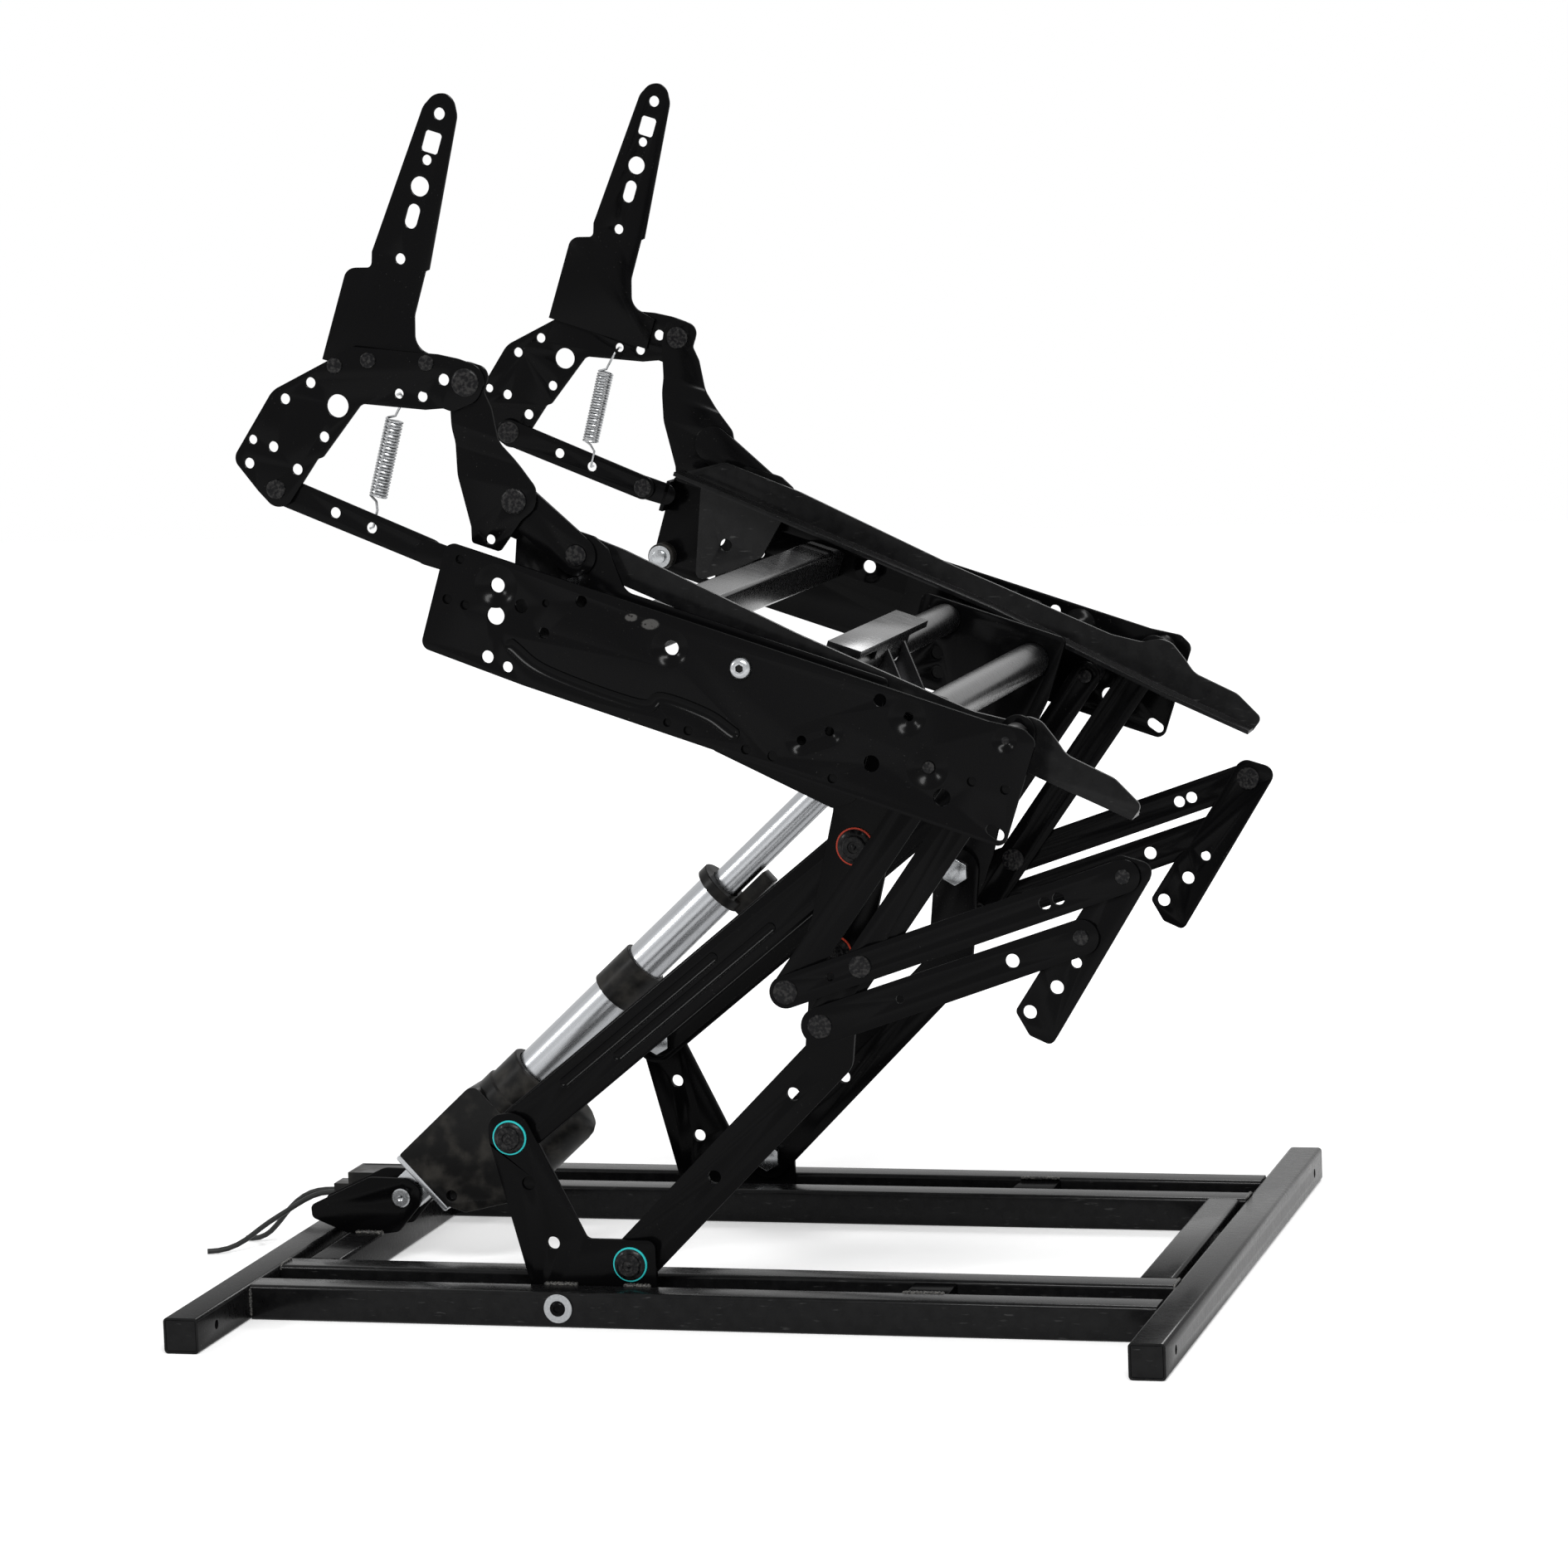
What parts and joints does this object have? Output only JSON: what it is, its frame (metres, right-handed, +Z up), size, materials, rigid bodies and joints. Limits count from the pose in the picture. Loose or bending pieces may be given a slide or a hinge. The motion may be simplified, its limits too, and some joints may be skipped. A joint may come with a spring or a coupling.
{
  "type": "recliner lift mechanism",
  "caption": "Raised lift recliner mechanism: square-tube base, lift arms, seat frame with cross tubes, footrest and back linkages, and a linear actuator.",
  "frame": {"origin": "middle of the welded base on the floor, which is also the middle of the bounding box's underside without the leads", "axes": "+X to the front of the chair, +Y to the chair's left side, +Z up, with the mechanism shown raised"},
  "size_m": [0.7886, 0.64, 0.8569],
  "materials": {
    "black_paint": "satin black powder coat with fine speckle",
    "dark_steel": "sheeny black paint on round and square tube",
    "zinc": "bright zinc plate",
    "aluminium": "drawn aluminium with fine lengthwise streaks",
    "black_plastic": "dusty matt black"
  },
  "bodies": {
    "base": {"front_cross_tube": "dark_steel", "rear_cross_tube": "dark_steel", "rear_inner_bar": "black_paint", "front_inner_bar": "black_paint", "actuator_clevis": "black_paint", "clevis_pin": "zinc", "junction_box": "black_plastic", "motor_lead": "black_plastic", "hand_control_lead": "black_plastic", "right_outer_rail": "black_paint", "right_inner_rail": "black_paint", "right_upright": "black_paint", "left_outer_rail": "black_paint", "left_inner_rail": "black_paint", "left_upright": "black_paint"},
    "rear_lift_arms": {"right_rear_lift_arm": "black_paint", "left_rear_lift_arm": "black_paint"},
    "front_lift_arms": {"right_front_lift_arm": "black_paint", "left_front_lift_arm": "black_paint"},
    "seat_frame": {"rear_cross_member": "dark_steel", "torque_tube": "dark_steel", "front_round_tube": "dark_steel", "actuator_yoke": "black_paint", "right_side_plate": "black_paint", "right_seat_rail": "black_paint", "right_inner_plate": "black_paint", "right_lift_plate": "black_paint", "left_side_plate": "black_paint", "left_seat_rail": "black_paint", "left_inner_plate": "black_paint", "left_lift_plate": "black_paint"},
    "actuator": {"gear_housing": "black_plastic", "drive_motor": "black_plastic", "outer_tube": "aluminium", "tube_clamp": "black_plastic", "end_ring": "black_plastic"},
    "drive_rod": {"drive_rod": "aluminium"},
    "rear_links": {"right_rear_link": "black_paint", "left_rear_link": "black_paint"},
    "recline_posts": {"right_recline_post": "black_paint", "left_recline_post": "black_paint"},
    "recline_plates": {"right_recline_plate": "black_paint", "right_back_arm": "black_paint", "left_recline_plate": "black_paint", "left_back_arm": "black_paint"},
    "recline_bars": {"right_recline_bar": "black_paint", "right_recline_spring": "zinc", "left_recline_bar": "black_paint", "left_recline_spring": "zinc"},
    "footrest_front_links": {"right_footrest_front_link": "black_paint", "left_footrest_front_link": "black_paint"},
    "footrest_rear_links": {"right_footrest_rear_link": "black_paint", "left_footrest_rear_link": "black_paint"},
    "footrest_upper_links": {"right_footrest_upper_link": "black_paint", "left_footrest_upper_link": "black_paint"},
    "footrest_lower_links": {"right_footrest_lower_link": "black_paint", "left_footrest_lower_link": "black_paint"},
    "footrest_brackets": {"right_footrest_bracket": "black_paint", "left_footrest_bracket": "black_paint"}
  },
  "joints": [
    {"name": "lift", "type": "hinge", "parent": "base", "child": "rear_lift_arms", "pos_m": [-0.1365, 0, 0.1295], "axis": [0, 1, 0], "range_deg": [0, 32]},
    {"name": "seat_tilt", "type": "hinge", "parent": "rear_lift_arms", "child": "seat_frame", "pos_m": [0.12068, 0, 0.33628], "axis": [0, 1, 0], "range_deg": [-61.64, 0]},
    {"name": "front_arm_swing", "type": "hinge", "parent": "base", "child": "front_lift_arms", "pos_m": [-0.052, 0, 0.0406], "axis": [0, 1, 0], "range_deg": [0, 43.41]},
    {"name": "actuator_swing", "type": "hinge", "parent": "base", "child": "actuator", "pos_m": [-0.2696, 0, 0.0531], "axis": [0, 1, 0], "range_deg": [0, 19.55]},
    {"name": "rod_stroke", "type": "slide", "parent": "actuator", "child": "drive_rod", "axis": [0.7361, 0, 0.6769], "range_m": [-0.0693, 0]},
    {"name": "rear_link_swing", "type": "hinge", "parent": "seat_frame", "child": "rear_links", "pos_m": [-0.05228, 0, 0.54367], "axis": [0, 1, 0], "range_deg": [-6.02, 0]},
    {"name": "recline", "type": "hinge", "parent": "rear_links", "child": "recline_posts", "pos_m": [-0.09349, 0, 0.58143], "axis": [0, 1, 0], "range_deg": [-38, 0]},
    {"name": "plate_turn", "type": "hinge", "parent": "recline_posts", "child": "recline_plates", "pos_m": [-0.12106, 0, 0.66289], "axis": [0, 1, 0], "range_deg": [0, 8.36]},
    {"name": "bar_swing", "type": "hinge", "parent": "seat_frame", "child": "recline_bars", "pos_m": [-0.15325, 0, 0.54815], "axis": [0, 1, 0], "range_deg": [-59.77, 0], "deforming": ["right_recline_spring", "left_recline_spring"]},
    {"name": "footrest", "type": "hinge", "parent": "seat_frame", "child": "footrest_front_links", "pos_m": [0.24743, 0, 0.42011], "axis": [0, 1, 0], "range_deg": [-85, 0]},
    {"name": "rear_link_fold", "type": "hinge", "parent": "seat_frame", "child": "footrest_rear_links", "pos_m": [0.19461, 0, 0.40213], "axis": [0, 1, 0], "range_deg": [-85, 0]},
    {"name": "upper_link_fold", "type": "hinge", "parent": "footrest_front_links", "child": "footrest_upper_links", "pos_m": [0.13415, 0, 0.26188], "axis": [0, 1, 0], "range_deg": [0, 85]},
    {"name": "lower_link_fold", "type": "hinge", "parent": "footrest_front_links", "child": "footrest_lower_links", "pos_m": [0.10458, 0, 0.22058], "axis": [0, 1, 0], "range_deg": [0, 85]},
    {"name": "bracket_fold", "type": "hinge", "parent": "footrest_upper_links", "child": "footrest_brackets", "pos_m": [0.31676, 0, 0.32405], "axis": [0, 1, 0], "range_deg": [-85, 0]}
  ],
  "couplings": [
    {"joint": "seat_tilt", "follows": "lift", "ratio": -1.9257},
    {"joint": "front_arm_swing", "follows": "lift", "ratio": 1.356},
    {"joint": "actuator_swing", "follows": "lift", "ratio": 0.6104},
    {"joint": "rod_stroke", "follows": "lift", "m_per_rad": -0.12399},
    {"joint": "rear_link_swing", "follows": "recline", "ratio": 0.15789},
    {"joint": "plate_turn", "follows": "recline", "ratio": -0.21935},
    {"joint": "bar_swing", "follows": "recline", "ratio": 1.5723},
    {"joint": "rear_link_fold", "follows": "footrest", "ratio": 1},
    {"joint": "upper_link_fold", "follows": "footrest", "ratio": -1},
    {"joint": "lower_link_fold", "follows": "footrest", "ratio": -1},
    {"joint": "bracket_fold", "follows": "footrest", "ratio": 1}
  ]
}
